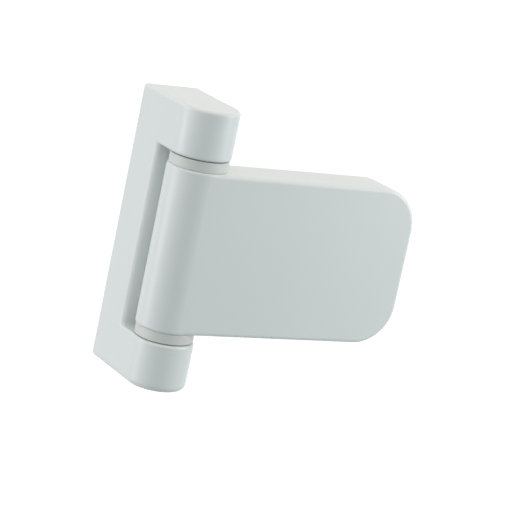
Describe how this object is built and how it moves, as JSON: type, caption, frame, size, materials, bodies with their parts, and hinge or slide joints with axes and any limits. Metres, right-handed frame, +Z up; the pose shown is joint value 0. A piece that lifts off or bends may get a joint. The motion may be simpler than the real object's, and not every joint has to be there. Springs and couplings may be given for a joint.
{
  "type": "flag hinge",
  "caption": "White flag hinge for a face-fixed door: a frame bracket with knuckles at top and foot, a pin between them, and a broad covered flag that turns on it and adjusts sideways.",
  "frame": {"origin": "centre of the bracket's back face, which lies on the door frame", "axes": "+Z up along the pin, +Y out of the back face into the door frame, +X towards the free end of the closed flag"},
  "size_m": [0.0971, 0.039, 0.1],
  "materials": {
    "white_coat": "satin white powder coat",
    "white_cover": "satin white moulding",
    "nylon": "natural white nylon",
    "bright_steel": "ground steel",
    "black_steel": "black oxide",
    "plated_steel": "bright zinc plate"
  },
  "bodies": {
    "frame_side": {"frame_bracket": "white_coat", "hinge_pin": "bright_steel", "pin_set_screws": "black_steel", "bottom_plug": "white_cover"},
    "flag_side": {"flag_leaf": "white_coat", "flag_cover": "white_cover", "upper_bush": "nylon", "lower_bush": "nylon"},
    "door_side": {"door_plate": "plated_steel", "clamp_screws": "plated_steel", "clamp_washers": "plated_steel"},
    "adjuster": {"lateral_adjuster": "plated_steel", "adjuster_clip": "black_steel"}
  },
  "joints": [
    {"name": "flag_swing", "type": "hinge", "parent": "frame_side", "child": "flag_side", "pos_m": [0, -0.0282, 0], "axis": [0, 0, -1], "range_deg": [0, 180]},
    {"name": "adjuster_turn", "type": "hinge", "parent": "flag_side", "child": "adjuster", "pos_m": [0.0836, -0.0308, 0], "axis": [1, 0, 0], "range_deg": [-1083, 1083]},
    {"name": "door_plate_slide", "type": "slide", "parent": "flag_side", "child": "door_side", "axis": [1, 0, 0], "range_m": [-0.003, 0.003]}
  ],
  "couplings": [
    {"joint": "adjuster_turn", "follows": "door_plate_slide", "rad_per_m": -6283.2}
  ]
}
